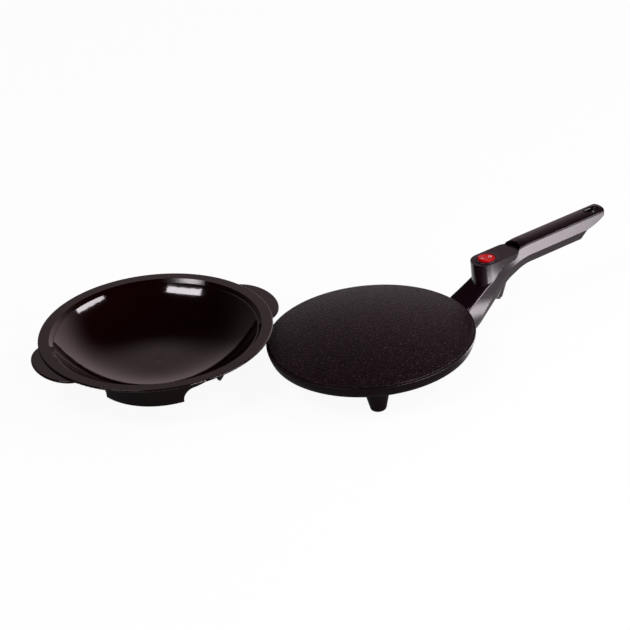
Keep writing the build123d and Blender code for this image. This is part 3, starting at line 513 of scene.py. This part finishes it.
@dataclass(frozen=True)
class RockerMarks:
    """The raised on and off marks of the rocker's two halves. Lengths are in metres."""

    reach: float = 0.0046
    stroke: float = 0.00042
    bar_length: float = 0.0034
    ring_radius: float = 0.0016
    proud: float = 0.00006
    sunk: float = 0.00015
    crown: float = 0.75
    bar_points: int = 9
    ring_points: int = 40
    drop_height: float = 0.1

    def build(self, wardrobe: Wardrobe) -> None:
        """Make both marks.

        Args:
            wardrobe: Where their finish comes from.
        """
        surface = self.top_surface()
        low, high = (Vector(corner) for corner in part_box("switch_bezel"))
        x, y, _ = (low + high) / 2
        bar = [(x - self.reach + (i / (self.bar_points - 1) - 0.5) * self.bar_length, y)
               for i in range(self.bar_points)]
        turns = [math.tau * i / self.ring_points for i in range(self.ring_points)]
        ring = [(x + self.reach + self.ring_radius * math.cos(a),
                 y + self.ring_radius * math.sin(a)) for a in turns]
        finish = wardrobe.get(Finish.MARK)
        moulding("rocker_mark_on", self.ridge(bar, False, surface), finish, ROCKER)
        moulding("rocker_mark_off", self.ridge(ring, True, surface), finish, ROCKER)

    def top_surface(self) -> BVHTree:
        """Take the rocker's faces.

        Returns:
            The faces, ready to drop points on.
        """
        mesh = bpy.data.objects["switch_rocker"].data
        return BVHTree.FromPolygons([v.co for v in mesh.vertices],
                                    [tuple(p.vertices) for p in mesh.polygons])

    def ridge(self, path: list[tuple[float, float]], closed: bool,
              surface: BVHTree) -> bmesh.types.BMesh:
        """Return a low ridge along a path, laid on the rocker's top.

        Args:
            path: Plan points that its middle follows.
            closed: Whether the path comes back to its start.
            surface: The rocker's faces.

        Returns:
            The ridge as a closed shape.
        """
        half = self.stroke / 2
        # The section across the path: two edges sunk into the rocker and two that stand proud.
        profile = ((-half, -self.sunk), (-self.crown * half, self.proud),
                   (self.crown * half, self.proud), (half, -self.sunk))
        shape = bmesh.new()
        rows = []
        count = len(path)
        for i, (x, y) in enumerate(path):
            before = path[i - 1] if closed or i > 0 else path[i]
            after = path[(i + 1) % count] if closed or i < count - 1 else path[i]
            side = Vector((before[1] - after[1], after[0] - before[0])).normalized()
            row = []
            for across, rise in profile:
                spot = Vector((x + side.x * across, y + side.y * across, self.drop_height))
                landed = surface.ray_cast(spot, Vector((0, 0, -1)))[0]
                row.append(shape.verts.new(landed + Vector((0, 0, rise))))
            rows.append(row)
        band(shape, rows, closed)
        if not closed:
            shape.faces.new(rows[0][::-1])
            shape.faces.new(rows[-1])
        return shape


# ---- Studio ------------------------------------------------------------------------------------
WATTS_PER_RADIANCE = 4.0
LAMP_COLOUR = (1.0, 0.91, 0.97)


def panel(name: str, size: tuple[float, float], radiance: float) -> bpy.types.Object:
    """Return a rectangular light that shines down its own -Z.

    Args:
        name: The light's name.
        size: Its length and height in metres.
        radiance: How bright its face looks, where 1 is white.

    Returns:
        The light, still at the origin.
    """
    light = bpy.data.lights.new(name, "AREA")
    light.shape = "RECTANGLE"
    light.size, light.size_y = size
    light.energy = WATTS_PER_RADIANCE * radiance * light.size * light.size_y
    light.color = LAMP_COLOUR
    return put(name, light)


@dataclass(frozen=True)
class SoftBox:
    """A long soft box hung between two directions from the object, seen from its middle."""

    name: str
    start: tuple[float, float, float]
    end: tuple[float, float, float]
    height_degrees: float
    radiance: float
    distance: float = 2.6

    def hang(self, aim: Vector) -> None:
        """Hang the light so that it faces a point.

        Args:
            aim: The point that it faces.
        """
        start, end = Vector(self.start).normalized(), Vector(self.end).normalized()
        facing = -(start + end).normalized()
        length = (end - start).length * self.distance
        height = 2 * self.distance * math.tan(math.radians(self.height_degrees) / 2)
        along = (end - start - facing * (end - start).dot(facing)).normalized()
        turn = Matrix((along, (-facing).cross(along), -facing)).transposed().to_4x4()
        light = panel(self.name, (length, height), self.radiance)
        light.matrix_world = Matrix.Translation(aim - facing * self.distance) @ turn


SOFT_BOXES = (
    SoftBox("right_box", (0.764, -0.305, 0.568), (0.330, -0.583, 0.742),
            height_degrees=8.0, radiance=12.0),
    SoftBox("left_box", (-0.458, -0.246, 0.854), (-0.639, 0.194, 0.745),
            height_degrees=7.0, radiance=14.0),
    SoftBox("low_box", (0.66, -0.73, 0.17), (-0.25, -0.95, 0.17),
            height_degrees=13.0, radiance=15.0, distance=1.6),
)


@dataclass(frozen=True)
class FloorCard:
    """A small lit card that lies in front of the neck and shines up at its side."""

    name: str = "floor_card"
    middle: tuple[float, float, float] = (0.156, -0.160, 0.001)
    size: tuple[float, float] = (0.09, 0.052)
    radiance: float = 11.0

    def lay(self) -> None:
        """Lay the light with its face up."""
        light = panel(self.name, self.size, self.radiance)
        light.location = self.middle
        light.rotation_euler = (math.pi, 0.0, 0.0)


@dataclass(frozen=True)
class Viewpoint:
    """The camera, turned about the point that it aims at. Lengths are in metres, angles in degrees.

    The azimuth is the way that it looks, counted from +Y towards +X.
    """

    aim: tuple[float, float, float] = (0.02023, 0.05095, 0.0)
    azimuth: float = 33.1
    elevation: float = 29.25
    roll: float = 5.40
    distance: float = 5.0
    lens_mm: float = 286.86
    sensor_mm: float = 36.0
    clip_end: float = 60.0

    def axes(self) -> tuple[Vector, Vector, Vector]:
        """Work out which way the camera faces.

        Returns:
            Its right, up and forward directions.
        """
        turn, tilt = math.radians(self.azimuth), math.radians(self.elevation)
        forward = Vector((math.cos(tilt) * math.sin(turn), math.cos(tilt) * math.cos(turn),
                          -math.sin(tilt)))
        right = Vector((math.cos(turn), -math.sin(turn), 0.0))
        up = right.cross(forward)
        lean = math.radians(self.roll)
        return (right * math.cos(lean) - up * math.sin(lean),
                right * math.sin(lean) + up * math.cos(lean), forward)

    def place(self) -> None:
        """Place the camera and make it the scene's own."""
        right, up, forward = self.axes()
        camera = bpy.data.cameras.new("camera")
        camera.lens = self.lens_mm
        camera.sensor_width = self.sensor_mm
        camera.clip_end = self.clip_end
        holder = put("camera", camera)
        turn = Matrix((right, up, -forward)).transposed().to_4x4()
        holder.matrix_world = Matrix.Translation(Vector(self.aim) - forward * self.distance) @ turn
        bpy.context.scene.camera = holder


@dataclass(frozen=True)
class Floor:
    """A wide white floor that keeps a faint shadow. Lengths are in metres.

    In gloss it shows dim in front of the object and bright to the right of it. The rise between
    the two starts and ends at right_edge along X, and leans by edge_lean of Y.
    """

    size: float = 30.0
    drop: float = 0.0005
    paint_level: float = 0.80
    glow_share: float = 0.93
    gloss_level: float = 0.12
    right_level: float = 0.9
    right_edge: tuple[float, float] = (0.01, 0.08)
    edge_lean: float = 0.3

    def lay(self) -> None:
        """Lay the floor just under the feet."""
        shape = bmesh.new()
        bmesh.ops.create_grid(shape, x_segments=1, y_segments=1, size=self.size / 2)
        mesh = bpy.data.meshes.new("floor")
        shape.to_mesh(mesh)
        shape.free()
        mesh.materials.append(self.material())
        floor = put("floor", mesh)
        floor.location.z = -self.drop

    def material(self) -> bpy.types.Material:
        """Mix matt paint with a glow that the camera sees as white.

        Returns:
            The material.
        """
        graph = Coat("floor_white")
        seen = graph.rays("Is Camera Ray", "Is Transmission Ray")
        gloss = graph.rays("Is Glossy Ray")
        right = (graph.along("X") + graph.along("Y") * self.edge_lean).between(*self.right_edge)
        level = right * self.right_level + self.gloss_level
        paint = graph.node("ShaderNodeBsdfDiffuse", {}, {"Color": rgba(WHITE, self.paint_level)})
        glow = graph.node("ShaderNodeEmission", {},
                          {"Color": rgba(WHITE), "Strength": seen + gloss * level})
        graph.finish(graph.mix((seen + gloss) * self.glow_share, paint, glow))
        return graph.material


@dataclass(frozen=True)
class Backdrop:
    """A pale backdrop behind the object, in a dim room that the camera sees as white.

    Angles are in degrees. The backdrop fades out upwards between two elevations, and sideways
    between two cosines of the angle from its middle.
    """

    turn: float = 36.0
    elevations: tuple[float, float] = (15.0, 48.0)
    side_cosines: tuple[float, float] = (0.35, 0.90)
    side_share: float = 0.1
    level: float = 0.85
    dim_level: float = 0.012
    fill_level: float = 0.45
    colour: tuple[float, float, float] = (1.0, 0.76, 0.81)

    def hang(self, azimuth: float) -> None:
        """Make the world.

        Args:
            azimuth: The way that the camera looks, from which the backdrop is turned.
        """
        world = bpy.data.worlds.new("studio")
        bpy.context.scene.world = world
        graph = Graph(world, "ShaderNodeOutputWorld")
        way = graph.node("ShaderNodeTexCoord", {}, {}, "Generated")
        east, north, rise = (graph.node("ShaderNodeSeparateXYZ", {}, {0: way}, axis)
                             for axis in ("X", "Y", "Z"))
        middle = math.radians(azimuth + self.turn)
        behind = (east * math.sin(middle) + north * math.cos(middle)).between(*self.side_cosines)
        low = 1 - rise.between(*(math.sin(math.radians(angle)) for angle in self.elevations))
        across = behind * (1 - self.side_share) + self.side_share
        fill = graph.rays("Is Diffuse Ray") * self.fill_level
        strength = low * across * self.level + self.dim_level + fill
        room = graph.node("ShaderNodeBackground", {},
                          {"Color": rgba(self.colour), "Strength": strength})
        white = graph.node("ShaderNodeBackground", {}, {"Color": rgba(WHITE), "Strength": 1.0})
        graph.finish(graph.mix(graph.rays("Is Camera Ray"), room, white))


@dataclass(frozen=True)
class Studio:
    """The camera, the floor, the room and the lights."""

    view: Viewpoint = Viewpoint()
    floor: Floor = Floor()
    backdrop: Backdrop = Backdrop()
    soft_boxes: tuple[SoftBox, ...] = SOFT_BOXES
    card: FloorCard = FloorCard()

    def build(self) -> None:
        """Set up everything about the object."""
        self.view.place()
        self.floor.lay()
        self.backdrop.hang(self.view.azimuth)
        for box in self.soft_boxes:
            box.hang(Vector(self.view.aim))
        self.card.lay()
        log.info("studio built")


def main() -> None:
    """Build everything in order."""
    logging.basicConfig(level=logging.INFO, format="%(name)s: %(message)s")
    bpy.context.scene.view_settings.view_transform = "Standard"
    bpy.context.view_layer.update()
    Studio().build()
    wardrobe = Wardrobe()
    wardrobe.dress_nodes()
    EyeCollar().build(wardrobe)
    RockerMarks().build(wardrobe)


if __name__ == "__main__":
    main()
